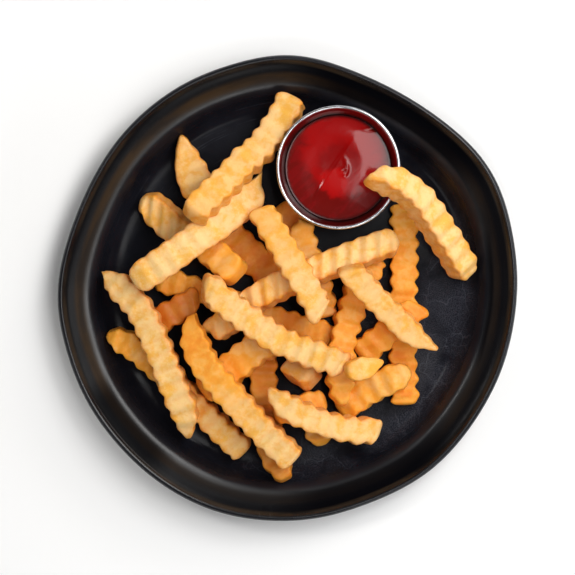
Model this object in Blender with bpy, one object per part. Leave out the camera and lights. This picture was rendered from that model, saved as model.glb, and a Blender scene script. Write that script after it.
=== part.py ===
# A portion of crinkle-cut french fries, served on a dark glazed coupe plate with a
# steel sauce cup of tomato dip. One fry leans on the cup's rim.
# Units are metres, +Z is up, and the origin is the middle of the plate's footprint on the table.

import math

import bmesh
import bpy
import numpy as np
from mathutils import Matrix, Vector

for leftover in list(bpy.data.objects):
    bpy.data.objects.remove(leftover, do_unlink=True)

MM = 0.001

# ---------------------------------------------------------------- driving dimensions
GAP = 0.30 * MM              # clearance between touching pieces

# Plate. Its outline is a soft, hand-formed round: a circle with low swellings.
RIM_BASE = 114.4 * MM        # radius of the circle under the swellings
RIM_SWELLS = (               # bearing in degrees, height in mm, half width in degrees
    (4, 1.3, 15), (30, 4.3, 17), (90, 4.2, 15), (115, 2.8, 18), (137, 1.0, 14),
    (182, 3.4, 15), (207, 3.0, 17), (231, 2.8, 17), (253, 4.1, 18), (276, 2.3, 15),
    (307, 2.5, 18), (338, 1.0, 15),
)
RIM_MEAN = 117.0 * MM
PLATE_HEIGHT = 20.5 * MM
WELL_RADIUS = 90.0 * MM      # flat inside the well
WELL_TOP = 5.2 * MM          # level the food lies on
SHOULDER_RADIUS = 101.5 * MM # top of the steep inner wall
SHOULDER_TOP = 15.2 * MM
FOOT_OUTER = 66.0 * MM
FOOT_INNER = 59.0 * MM
FOOT_RECESS = 1.8 * MM
PLATE_SECTORS = 60

# Sauce cup: a flared steel cup with a thin rolled rim.
CUP_X, CUP_Y = 25.7 * MM, 61.0 * MM
CUP_RIM = 31.4 * MM          # outer radius over the rolled rim
CUP_BASE = 23.0 * MM         # outer radius of the base
CUP_HEIGHT = 31.5 * MM
CUP_WALL = 0.8 * MM
CUP_BEAD = 1.7 * MM          # width of the rolled rim
CUP_SECTORS = 44
DIP_LEVEL = 22.2 * MM        # height of the dip above the cup's underside
DIP_SECTORS = 32

# Fries. Their places are counted on a square plan grid whose corner is the plate's upper left.
PITCH = 0.509 * MM           # one step of the plan grid
MIDDLE = (287.5, 288.0)      # grid point over the plate's middle
RIDGE_PITCH = 7.7 * MM       # one crinkle
NEST = 2.1 * MM              # how far a soft fry settles into the ridges of the one beneath it
STEP = 1.0 * MM              # cell of the height map on which the fries are laid

# One row per fry, from the bottom of the heap to the top. Breadth and the two tapers are in
# grid steps. A taper is (length, share of the breadth left at the tip). Depth, sway (crinkle
# across) and lift (crinkle up and down) are in mm. Roll is in degrees: more than 0 lifts the side
# that lies to the left of the path. Pitch is the slope along the path, or None to let it lie.
#   name        breadth depth  start taper  end taper  sway lift roll pitch  plan path
FRIES = (
    ("cup_side",   25, 11.0, (8, 0.6),   (8, 0.6),   0.65, 0.2,   0, None, ((280, 204), (293, 222), (309, 238))),
    ("slab",       32, 10.5, (8, 0.7),   (8, 0.7),   0.5, 0.2,    0, None, ((222, 228), (252, 257), (286, 288))),
    ("thread",     15,  9.0, (8, 0.5),   (8, 0.6),   0.5, 0.2,    0, None, ((271, 238), (281, 247), (293, 257))),
    ("long_base",  25, 11.0, (8, 0.6),   (10, 0.6),  0.65, 0.3,   0, None, ((156, 279), (200, 291), (262, 315), (334, 337))),
    ("stub_left",  26, 10.5, (8, 0.6),   (12, 0.6),  0.6, 0.3,    0, None, ((150, 324), (174, 312), (199, 297))),
    ("down_left",  27, 11.0, (8, 0.7),   (26, 0.5),  0.65, 0.4,   0, None, ((264, 346), (263, 375), (265, 402), (268, 427), (273, 453), (286, 480))),
    ("small_low",  26, 10.5, (8, 0.7),   (12, 0.45), 0.6, 0.3,    0, None, ((313, 408), (317, 426), (322, 446))),
    ("upright",    26, 11.5, (4, 0.9),   (4, 0.9),   0.95, 0.3,   0, None, ((404, 204), (405, 250), (404, 300), (403, 350), (405, 405))),
    ("corner",     31, 11.5, (10, 0.45), (8, 0.7),   0.5, 0.5,   20, None, ((143, 196), (163, 216), (190, 242))),
    ("leaf",       33, 11.0, (44, 0.14), (10, 0.7),  0.35, 0.2,   0, None, ((181, 135), (189, 165), (201, 198))),
    ("right_low",  27, 11.5, (8, 0.6),   (6, 0.75),  0.55, 0.25,  0, None, ((360, 355), (388, 332), (419, 305))),
    ("cup_small",  25, 10.5, (8, 0.5),   (6, 0.7),   0.75, 0.3,   0, None, ((299, 222), (306, 250), (318, 285), (325, 316))),
    ("cross_low",  25, 10.5, (8, 0.7),   (8, 0.6),   0.6, 0.3,    0, None, ((274, 414), (300, 407), (326, 401))),
    ("far_left",   24, 11.0, (16, 0.4),  (6, 0.75),  0.6, 0.3,   10, None, ((107, 334), (130, 345), (160, 370), (186, 395), (213, 422), (245, 453))),
    ("shadowed",   31, 11.5, (8, 0.7),   (8, 0.7),   0.8, 0.3,   10, None, ((284, 331), (250, 354), (204, 392))),
    ("low_right",  28, 11.0, (8, 0.6),   (18, 0.45), 0.5, 0.25,   0, None, ((341, 410), (366, 392), (410, 370))),
    ("middle_rt",  26, 11.0, (6, 0.7),   (26, 0.35), 0.8, 0.3,   -8, None, ((375, 257), (357, 295), (344, 335), (340, 372), (342, 405))),
    ("nub_low",    25, 11.0, (4, 0.9),   (5, 0.8),   0.2, 0.1,  -12, 0.75, ((289, 364), (302, 372), (314, 380))),
    ("nub",        29, 12.0, (4, 0.9),   (7, 0.7),   0.35, 0.15,  0, 0.60, ((208, 248), (224, 262), (238, 276))),
    ("cross",      26, 11.5, (12, 0.6),  (6, 1.0),   0.5, 0.6,   14, None, ((397, 240), (345, 259), (300, 277), (265, 294), (238, 313), (213, 333))),
    ("bent_left",  27, 11.5, (20, 0.25), (34, 0.25), 0.75, 0.3,   8, None, ((106, 272), (122, 288), (140, 309), (153, 334), (164, 360), (176, 390), (185, 412), (189, 437))),
    ("taper",      25, 11.5, (5, 0.8),   (44, 0.25), 0.5, 0.3,    6, None, ((347, 267), (371, 294), (392, 315), (416, 337), (437, 349))),
    ("broad",      31, 11.5, (12, 0.6),  (14, 0.5),  0.3, 0.2,    0, None, ((135, 282), (165, 262), (197, 239), (228, 217), (259, 188))),
    ("centre",     27, 11.5, (5, 0.85),  (5, 0.8),   0.75, 0.2,   0, None, ((261, 209), (278, 240), (301, 278), (322, 315))),
    ("top_left",   28, 12.0, (8, 0.6),   (6, 0.75),  0.65, 0.25, -13, None, ((191, 217), (225, 184), (243, 165), (263, 146), (283, 117), (294, 97))),
    ("long_mid",   28, 11.5, (12, 0.5),  (8, 0.75),  0.8, 0.3,    0, None, ((204, 281), (222, 299), (250, 320), (275, 338), (300, 349), (325, 358), (346, 366))),
    ("chip_end",   23,  8.0, (14, 0.6),  (26, 0.15), 0.2, 0.1,    0, None, ((345, 370), (362, 368), (382, 361))),
    ("curved_low", 25, 11.0, (18, 0.35), (8, 0.6),   0.7, 0.25,   6, None, ((269, 388), (285, 404), (307, 416), (332, 425), (357, 430), (378, 430))),
    ("long_low",   27, 11.5, (26, 0.3),  (5, 0.85),  0.75, 0.35,  8, None, ((190, 316), (194, 336), (203, 360), (222, 385), (246, 412), (270, 437), (295, 460))),
)
# The fry that leans on the cup's rim.
LEANER = ("leaner", 24.6, 12.0, (20, 0.42), (14, 0.6), 0.5, 0.4, -28, -0.56,
          ((365, 182), (380, 181), (396, 185), (410, 194), (422, 206), (436, 226), (448, 244), (458, 260), (467, 276)))


# ---------------------------------------------------------------- materials
def material(name, colour, roughness, metallic=0.0):
    mat = bpy.data.materials.new(name)
    mat.use_nodes = True
    shader = mat.node_tree.nodes["Principled BSDF"]
    shader.inputs["Base Color"].default_value = (*colour, 1.0)
    shader.inputs["Roughness"].default_value = roughness
    shader.inputs["Metallic"].default_value = metallic
    mat.diffuse_color = (*colour, 1.0)
    return mat


# ---------------------------------------------------------------- turned pieces
def rim_radius(angle):
    """Radius of the plate's outer edge at a bearing."""
    radius = RIM_BASE
    for bearing, height, width in RIM_SWELLS:
        away = (math.degrees(angle) - bearing + 180.0) % 360.0 - 180.0
        radius += height * MM * math.exp(-(away / width) ** 2)
    return radius


def outline_shift():
    """Offset that centres the plate's outline on the origin."""
    ring = [2 * math.pi * k / PLATE_SECTORS for k in range(PLATE_SECTORS)]
    xs = [rim_radius(a) * math.cos(a) for a in ring]
    ys = [rim_radius(a) * math.sin(a) for a in ring]
    return (max(xs) + min(xs)) / 2, (max(ys) + min(ys)) / 2


SHIFT = outline_shift()


def follow(radius):
    """How far a ring of the plate follows the uneven outline: not at all at the foot, wholly at the rim."""
    return min(1.0, max(0.0, (radius - FOOT_OUTER) / (SHOULDER_RADIUS - FOOT_OUTER)))


def plate_point(radius, angle):
    share = follow(radius)
    stretch = 1.0 + (rim_radius(angle) / RIM_MEAN - 1.0) * share
    return (radius * stretch * math.cos(angle) - SHIFT[0] * share,
            radius * stretch * math.sin(angle) - SHIFT[1] * share)


def ring_solid(name, profile, sectors, place, mat, close_top=True):
    """A closed solid of stacked rings. The profile runs from the top middle, over the edge, to the
    bottom middle, and both ends are closed with a flat disc."""
    bm = bmesh.new()
    rings = []
    for radius, height in profile:
        ring = []
        for k in range(sectors):
            angle = 2 * math.pi * k / sectors
            x, y = place(radius, angle)
            ring.append(bm.verts.new((x, y, height)))
        rings.append(ring)
    for upper, lower in zip(rings, rings[1:]):
        for k in range(sectors):
            j = (k + 1) % sectors
            bm.faces.new((upper[k], lower[k], lower[j], upper[j]))
    bm.faces.new(rings[0])
    bm.faces.new(list(reversed(rings[-1])))
    bmesh.ops.recalc_face_normals(bm, faces=bm.faces)
    mesh = bpy.data.meshes.new(name)
    bm.to_mesh(mesh)
    bm.free()
    ob = bpy.data.objects.new(name, mesh)
    bpy.context.collection.objects.link(ob)
    mesh.materials.append(mat)
    return ob


def smooth_step(t):
    t = min(1.0, max(0.0, t))
    return t * t * (3.0 - 2.0 * t)


def well_height(radius):
    """Top surface of the plate at a nominal radius."""
    if radius <= WELL_RADIUS:
        return WELL_TOP
    if radius <= SHOULDER_RADIUS:
        t = (radius - WELL_RADIUS) / (SHOULDER_RADIUS - WELL_RADIUS)
        return WELL_TOP + (SHOULDER_TOP - WELL_TOP) * (0.75 * smooth_step(t) + 0.25 * t * t)
    t = (radius - SHOULDER_RADIUS) / (RIM_MEAN - SHOULDER_RADIUS)
    return SHOULDER_TOP + (PLATE_HEIGHT - SHOULDER_TOP) * (1.0 - (1.0 - min(1.0, t)) ** 1.6)


def plate_profile():
    top = [(40 * MM, WELL_TOP)]
    for radius in (WELL_RADIUS, 92.7 * MM, 95 * MM, 97.3 * MM, 99.6 * MM, SHOULDER_RADIUS + 1 * MM, 107.5 * MM):
        top.append((radius, well_height(radius)))
    lip = [(113.0 * MM, PLATE_HEIGHT - 0.9 * MM), (115.3 * MM, PLATE_HEIGHT), (116.6 * MM, PLATE_HEIGHT - 0.7 * MM),
           (RIM_MEAN, PLATE_HEIGHT - 2.0 * MM), (116.2 * MM, PLATE_HEIGHT - 3.4 * MM)]
    under = [(111.0 * MM, PLATE_HEIGHT - 5.6 * MM), (103.0 * MM, SHOULDER_TOP - 4.2 * MM), (97.0 * MM, 5.4 * MM),
             (90.0 * MM, 2.2 * MM), (FOOT_OUTER + 2 * MM, 1.8 * MM), (FOOT_OUTER, 0.0), (FOOT_INNER, 0.0),
             (FOOT_INNER - 1.5 * MM, FOOT_RECESS), (30 * MM, FOOT_RECESS)]
    return top + lip + under


def cup_outer(height):
    """Outer radius of the cup's wall at a height above its underside."""
    t = height / CUP_HEIGHT
    return CUP_BASE + (CUP_RIM - CUP_BEAD * 0.75 - CUP_BASE) * (0.85 * t + 0.15 * t * t)


def cup_profile():
    """Inside floor, up the inside wall, over the rolled rim and down the outside."""
    inside = [(CUP_BASE - 5.0 * MM, CUP_WALL), (CUP_BASE - 1.6 * MM, CUP_WALL + 0.5 * MM)]
    for height in (2.6, 9.0, 16.0, 23.0, 28.5):
        inside.append((cup_outer(height * MM) - CUP_WALL, height * MM))
    roll = CUP_BEAD / 2
    middle = CUP_RIM - roll
    bead = [(middle + roll * math.cos(a), CUP_HEIGHT - roll + roll * math.sin(a))
            for a in (math.radians(b) for b in (165, 125, 90, 50, 5, -40, -80))]
    outside = [(cup_outer(h * MM), h * MM) for h in (28.5, 23.0, 16.0, 9.0, 2.4)]
    return inside + bead + outside + [(CUP_BASE - 1.2 * MM, 0.3 * MM), (CUP_BASE - 3.5 * MM, 0.0)]


def around_cup(radius, angle):
    return radius * math.cos(angle), radius * math.sin(angle)


def dip_swell(x, y):
    """Relief of the spooned dip around the cup's middle: a low mound with one curl."""
    radius = math.hypot(x, y)
    mound = 1.6 * MM * math.exp(-((x - 1 * MM) ** 2 + (y + 1 * MM) ** 2) / (11 * MM) ** 2)
    curl = 0.7 * MM * math.cos(math.atan2(y, x) - radius / (5.5 * MM)) * math.exp(-(radius / (14 * MM)) ** 2)
    return mound + curl


def dip_profile_levels():
    levels = [(0.8 * MM + CUP_WALL, CUP_BASE - 4.5 * MM), (2.6 * MM, 0), (9.0 * MM, 0), (16.0 * MM, 0), (DIP_LEVEL, 0)]
    rings = []
    for height, radius in levels:
        rings.append((radius or cup_outer(height) - CUP_WALL - GAP * 1.15, height))
    return rings


def make_dip(mat):
    """The dip fills the cup to its level; its face is lifted into a low curl."""
    bm = bmesh.new()
    wall = dip_profile_levels()
    top_radius = wall[-1][0]
    rings = []
    for radius, height in wall:
        rings.append([(radius * math.cos(a), radius * math.sin(a), height) for a in
                      (2 * math.pi * k / DIP_SECTORS for k in range(DIP_SECTORS))])
    for share in (0.82, 0.6, 0.38, 0.18):
        ring = []
        for k in range(DIP_SECTORS):
            a = 2 * math.pi * k / DIP_SECTORS
            x, y = top_radius * share * math.cos(a), top_radius * share * math.sin(a)
            ring.append((x, y, DIP_LEVEL + dip_swell(x, y)))
        rings.append(ring)
    verts = [[bm.verts.new(p) for p in ring] for ring in rings]
    for lower, upper in zip(verts, verts[1:]):
        for k in range(DIP_SECTORS):
            j = (k + 1) % DIP_SECTORS
            bm.faces.new((lower[k], lower[j], upper[j], upper[k]))
    bm.faces.new(list(reversed(verts[0])))
    peak = bm.verts.new((0, 0, DIP_LEVEL + dip_swell(0.0, 0.0)))
    for k in range(DIP_SECTORS):
        bm.faces.new((verts[-1][k], verts[-1][(k + 1) % DIP_SECTORS], peak))
    bmesh.ops.recalc_face_normals(bm, faces=bm.faces)
    mesh = bpy.data.meshes.new("dip")
    bm.to_mesh(mesh)
    bm.free()
    ob = bpy.data.objects.new("dip", mesh)
    bpy.context.collection.objects.link(ob)
    mesh.materials.append(mat)
    return ob


# ---------------------------------------------------------------- laying the fries
def run_path(points):
    """Smooth curve through the plan points, as an evenly stepped polyline in metres."""
    pts = np.array([((u - MIDDLE[0]) * PITCH, (MIDDLE[1] - v) * PITCH) for u, v in points])
    ends = np.vstack([2 * pts[0] - pts[1], pts, 2 * pts[-1] - pts[-2]])
    curve = []
    for i in range(1, len(ends) - 2):
        a, b, c, d = ends[i - 1], ends[i], ends[i + 1], ends[i + 2]
        for t in np.linspace(0, 1, 24, endpoint=False):
            curve.append(0.5 * (2 * b + (c - a) * t + (2 * a - 5 * b + 4 * c - d) * t ** 2
                                + (3 * b - a - 3 * c + d) * t ** 3))
    curve.append(pts[-1])
    curve = np.array(curve)
    along = np.concatenate([[0], np.cumsum(np.linalg.norm(np.diff(curve, axis=0), axis=1))])
    return curve, along


def at(run, s):
    """Place and left-hand normal of the path at distances s."""
    curve, along = run
    x = np.interp(s, along, curve[:, 0])
    y = np.interp(s, along, curve[:, 1])
    h = 0.6 * MM
    dx = np.interp(s + h, along, curve[:, 0]) - np.interp(s - h, along, curve[:, 0])
    dy = np.interp(s + h, along, curve[:, 1]) - np.interp(s - h, along, curve[:, 1])
    size = np.hypot(dx, dy)
    return x, y, -dy / size, dx / size


def breadth_at(row, s, length):
    """Breadth of a fry at distance s, narrowed by its two tapers."""
    _, breadth, _, start, end = row[:5]
    def side(distance, taper):
        t = np.clip(distance / (taper[0] * PITCH), 0, 1)
        return taper[1] + (1 - taper[1]) * np.sin(t * math.pi / 2)
    return breadth * PITCH * side(s, start) * side(length - s, end)


def cut(v, half_w, half_t, roll):
    """Lower and upper height of a rolled rectangular section at sideways offset v (share -1..1)."""
    c, s = math.cos(roll), math.sin(roll)
    reach = half_w * abs(c) + half_t * abs(s)
    x = v * reach
    if abs(s) < 1e-4:
        return x, -half_t * np.ones_like(x), half_t * np.ones_like(x)
    # A point (x, z) is inside where |x c + z s| <= half_w and |z c - x s| <= half_t.
    first, second = (half_w - x * c) / s, (-half_w - x * c) / s
    low = np.maximum((-half_t + x * s) / c, np.minimum(first, second))
    high = np.minimum((half_t + x * s) / c, np.maximum(first, second))
    return x, low, high


class Table:
    """Height map of what already lies on the plate."""

    def __init__(self, reach=0.125):
        self.reach = reach
        self.n = int(2 * reach / STEP) + 1
        axis = np.linspace(-reach, reach, self.n)
        gx, gy = np.meshgrid(axis, axis, indexing="ij")
        radius = np.hypot(gx, gy)
        angle = np.arctan2(gy, gx)
        rim = np.array([rim_radius(math.radians(d)) for d in range(-180, 181)])
        stretch = np.interp(np.degrees(angle), np.arange(-180, 181), rim) / RIM_MEAN
        nominal = radius / stretch
        steps = np.linspace(0, 0.14, 141)
        self.map = np.interp(nominal, steps, [well_height(r) for r in steps]) + GAP
        self.gx, self.gy = gx, gy

    def index(self, x, y):
        i = np.clip(np.round((x + self.reach) / STEP).astype(int), 1, self.n - 2)
        j = np.clip(np.round((y + self.reach) / STEP).astype(int), 1, self.n - 2)
        return i, j

    def under(self, x, y):
        return self.map[self.index(x, y)]

    def add(self, x, y, z):
        np.maximum.at(self.map, self.index(x, y), z - NEST)

    def add_cup(self):
        away = np.hypot(self.gx - CUP_X, self.gy - CUP_Y)
        rim = away < CUP_RIM + 0.3 * MM
        inside = away < CUP_RIM - CUP_BEAD - 0.5 * MM
        self.map[rim] = np.maximum(self.map[rim], WELL_TOP + GAP + CUP_HEIGHT + GAP)
        self.map[inside] = WELL_TOP + GAP + DIP_LEVEL + 2.2 * MM


def lay(row, table, spare=0.0):
    """Find how one fry rests: its height, its slope and a slight bow, so that its middle is as low as
    what lies beneath allows."""
    name, breadth, depth, start, end, sway, lift, roll, pitch, points = row
    run = run_path(points)
    length = run[1][-1]
    s = np.linspace(0, length, max(8, int(length / (1.6 * MM))))
    share = np.linspace(-1, 1, 9)
    x, y, nx, ny = at(run, s)
    half_w = breadth_at(row, s, length) / 2 - 0.9 * MM
    half_t = depth * MM / 2
    middle = length / 2
    slopes = [pitch] if pitch is not None else np.arange(-0.34, 0.341, 0.02)
    bows = [0.0] if pitch is not None else [-5.0, -3.6, -2.4, -1.2, 0.0, 1.2, 2.4]
    angle = math.radians(roll)
    xs, lows = [], []
    for w in half_w:
        off, low, _ = cut(share, w, half_t, angle)
        xs.append(off)
        lows.append(low)
    xs, lows = np.array(xs), np.array(lows)
    ground = table.under(x[:, None] + nx[:, None] * xs, y[:, None] + ny[:, None] * xs) + spare
    need = ground - lows
    best = None
    for bow in bows:
        arch = bow * ((s - middle) ** 2)[:, None]
        for slope in slopes:
            rise = slope * (s - middle)[:, None]
            steep = half_t * (math.hypot(1.0, slope) - 1.0)
            base = float(np.max(need - rise - arch)) + steep
            level = base + float(np.mean(arch)) + 0.2 * float(np.max(rise + arch))
            if best is None or level < best[0] - 1e-7:
                best = (level, base, slope, bow)
    _, base, slope, bow = best
    fine = np.linspace(0, length, max(12, int(length / (0.5 * MM))))
    across = np.linspace(-1, 1, 41)
    x, y, nx, ny = at(run, fine)
    z = base + slope * (fine - middle) + bow * (fine - middle) ** 2
    for k, w in enumerate(breadth_at(row, fine, length) / 2):
        off, _, high = cut(across, w, half_t, angle)
        table.add(x[k] + nx[k] * off, y[k] + ny[k] * off, z[k] + high)
    return {"row": row, "run": run, "length": length, "base": base, "slope": slope, "bow": bow,
            "roll": angle}


def stations(laid):
    """Cross-sections at every crest and trough of the crinkle: centre, side vector, up vector, half sizes."""
    row, length = laid["row"], laid["length"]
    count = max(3, int(round(length / (RIDGE_PITCH / 2))))
    s = np.linspace(0, length, count + 1)
    x, y, nx, ny = at(laid["run"], s)
    z = laid["base"] + laid["slope"] * (s - length / 2) + laid["bow"] * (s - length / 2) ** 2
    grade = laid["slope"] + 2 * laid["bow"] * (s - length / 2)
    half_w = breadth_at(row, s, length) / 2
    half_t = row[2] * MM / 2
    out = []
    for k in range(count + 1):
        tangent = Vector((ny[k], -nx[k], grade[k])).normalized()
        side = Vector((nx[k], ny[k], 0.0))
        turn = Matrix.Rotation(laid["roll"], 3, tangent)
        side = turn @ side
        up = tangent.cross(side)
        wave = 1.0 if k % 2 else -1.0
        fade = 0.35 if k in (0, count) else 1.0
        centre = Vector((x[k], y[k], z[k])) + side * (wave * fade * row[5] * MM) + up * (wave * fade * row[6] * MM)
        out.append((centre, side * half_w[k], up * half_t))
    return out


def bar(name, sections, floor=None):
    """A closed bar through the sections. With a floor, its sides drop straight to that height."""
    bm = bmesh.new()
    rings = []
    for centre, side, up in sections:
        corners = [centre + side + up, centre - side + up, centre - side - up, centre + side - up]
        if floor is not None:
            for k in (2, 3):
                corners[k] = Vector((corners[3 - k].x, corners[3 - k].y, floor))
        rings.append([bm.verts.new(c) for c in corners])
    for first, second in zip(rings, rings[1:]):
        for k in range(4):
            j = (k + 1) % 4
            bm.faces.new((first[k], second[k], second[j], first[j]))
    bm.faces.new(rings[0])
    bm.faces.new(list(reversed(rings[-1])))
    bmesh.ops.recalc_face_normals(bm, faces=bm.faces)
    mesh = bpy.data.meshes.new(name)
    bm.to_mesh(mesh)
    bm.free()
    ob = bpy.data.objects.new(name, mesh)
    bpy.context.collection.objects.link(ob)
    return ob


def combine(target, tool, operation):
    """Boolean of two solids, kept as the target's mesh; the tool is removed."""
    mod = target.modifiers.new("joined", "BOOLEAN")
    mod.operation = operation
    mod.solver = "EXACT"
    mod.object = tool
    bpy.context.view_layer.update()
    shaped = bpy.data.meshes.new_from_object(target.evaluated_get(bpy.context.evaluated_depsgraph_get()))
    target.modifiers.clear()
    old = target.data
    target.data = shaped
    bpy.data.meshes.remove(old)
    bpy.data.objects.remove(tool, do_unlink=True)


def tidy(ob, limit=0.02 * MM):
    bm = bmesh.new()
    bm.from_mesh(ob.data)
    bmesh.ops.remove_doubles(bm, verts=bm.verts, dist=limit)
    bmesh.ops.dissolve_degenerate(bm, edges=bm.edges, dist=limit)
    bmesh.ops.triangulate(bm, faces=[f for f in bm.faces if len(f.verts) > 4])
    bmesh.ops.recalc_face_normals(bm, faces=bm.faces)
    bm.to_mesh(ob.data)
    bm.free()


# ---------------------------------------------------------------- build
def build():
    glaze = material("plate_glaze", (0.012, 0.013, 0.016), 0.35)
    steel = material("cup_steel", (0.62, 0.62, 0.63), 0.22, 1.0)
    tomato = material("tomato_dip", (0.42, 0.015, 0.012), 0.25)
    potato = material("fried_potato", (0.85, 0.52, 0.16), 0.6)
    potato_lean = material("fried_potato_leaner", (0.90, 0.60, 0.22), 0.6)

    ring_solid("plate", plate_profile(), PLATE_SECTORS, plate_point, glaze)
    cup = ring_solid("sauce_cup", cup_profile(), CUP_SECTORS, around_cup, steel)
    cup.location = (CUP_X, CUP_Y, WELL_TOP + GAP)
    dip = make_dip(tomato)
    dip.location = (CUP_X, CUP_Y, WELL_TOP + GAP)

    # Lay every fry on what is already there, from the bottom of the heap to the top.
    table = Table()
    laid = [lay(row, table) for row in FRIES]
    table.add_cup()
    lean = lay(LEANER, table, 0.8 * MM)

    # The heap is one solid: each fry with everything beneath it, down to the plate.
    heap = None
    for k, item in enumerate(laid):
        piece = bar("heap_part", stations(item), floor=WELL_TOP - 1.5 * MM - 0.03 * MM * k)
        if heap is None:
            heap = piece
        else:
            combine(heap, piece, "UNION")
    # Trim it to the plate's inside, a gap above the glaze, and clear of the cup.
    inside = [(30 * MM, 0.2), (SHOULDER_RADIUS + 6 * MM, 0.2)]
    for radius in (SHOULDER_RADIUS, 98.5 * MM, 95.5 * MM, 92.5 * MM, WELL_RADIUS, 40 * MM):
        inside.append((radius, well_height(radius) + GAP * 1.3))
    combine(heap, ring_solid("well_space", inside, PLATE_SECTORS, plate_point, potato), "INTERSECT")
    clear = [(4 * MM, CUP_HEIGHT + 8 * MM), (CUP_RIM + GAP * 1.6, CUP_HEIGHT + 8 * MM),
             (CUP_RIM + GAP * 1.6, CUP_HEIGHT - CUP_BEAD - 0.6 * MM)]
    clear += [(cup_outer(h * MM) + GAP * 1.6, h * MM) for h in (27.0, 16.0, 5.0, -1.0)] + [(4 * MM, -1 * MM)]
    cup_room = ring_solid("cup_space", clear, CUP_SECTORS, around_cup, potato)
    cup_room.location = (CUP_X, CUP_Y, WELL_TOP)
    combine(heap, cup_room, "DIFFERENCE")
    tidy(heap)
    heap.name = "fries_heap"
    heap.data.name = "fries_heap"
    heap.data.materials.clear()
    heap.data.materials.append(potato)
    for face in heap.data.polygons:
        face.material_index = 0

    leaner = bar("leaning_fry", stations(lean))
    leaner.data.materials.append(potato_lean)
    return laid + [lean]


LAID = build()
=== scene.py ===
import math

import bmesh
import bpy
import numpy as np
from mathutils import Matrix, Vector


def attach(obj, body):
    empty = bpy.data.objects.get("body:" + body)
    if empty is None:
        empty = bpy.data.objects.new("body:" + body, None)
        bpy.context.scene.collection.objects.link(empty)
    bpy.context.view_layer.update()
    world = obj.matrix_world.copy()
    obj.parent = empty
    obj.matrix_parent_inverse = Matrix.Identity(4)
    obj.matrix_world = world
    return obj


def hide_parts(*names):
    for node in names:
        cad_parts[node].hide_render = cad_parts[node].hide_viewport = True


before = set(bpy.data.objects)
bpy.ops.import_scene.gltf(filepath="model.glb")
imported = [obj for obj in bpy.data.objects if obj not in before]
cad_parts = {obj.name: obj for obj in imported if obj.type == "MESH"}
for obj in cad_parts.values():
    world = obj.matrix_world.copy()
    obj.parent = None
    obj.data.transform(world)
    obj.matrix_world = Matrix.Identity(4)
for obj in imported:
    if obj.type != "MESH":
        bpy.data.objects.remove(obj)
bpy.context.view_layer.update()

MM = 0.001

# ---------------------------------------------------------------- sizes, as in the CAD
RIM_BASE = 114.4 * MM
RIM_SWELLS = (
    (4, 1.3, 15), (30, 4.3, 17), (90, 4.2, 15), (115, 2.8, 18), (137, 1.0, 14),
    (182, 3.4, 15), (207, 3.0, 17), (231, 2.8, 17), (253, 4.1, 18), (276, 2.3, 15),
    (307, 2.5, 18), (338, 1.0, 15),
)
RIM_MEAN = 117.0 * MM
PLATE_HEIGHT = 20.5 * MM
WELL_RADIUS = 90.0 * MM
WELL_TOP = 5.2 * MM
SHOULDER_RADIUS = 101.5 * MM
SHOULDER_TOP = 15.2 * MM
FOOT_OUTER = 66.0 * MM
FOOT_INNER = 59.0 * MM
FOOT_RECESS = 1.8 * MM
GAP = 0.30 * MM
CUP_X, CUP_Y = 25.7 * MM, 61.0 * MM
CUP_RIM = 31.4 * MM
CUP_BASE = 23.0 * MM
CUP_HEIGHT = 31.5 * MM
CUP_WALL = 0.8 * MM
CUP_BEAD = 1.7 * MM
DIP_LEVEL = 22.2 * MM
PITCH = 0.509 * MM
MIDDLE = (287.5, 288.0)
RIDGE_PITCH = 7.7 * MM
NEST = 2.1 * MM
STEP = 1.0 * MM

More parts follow.
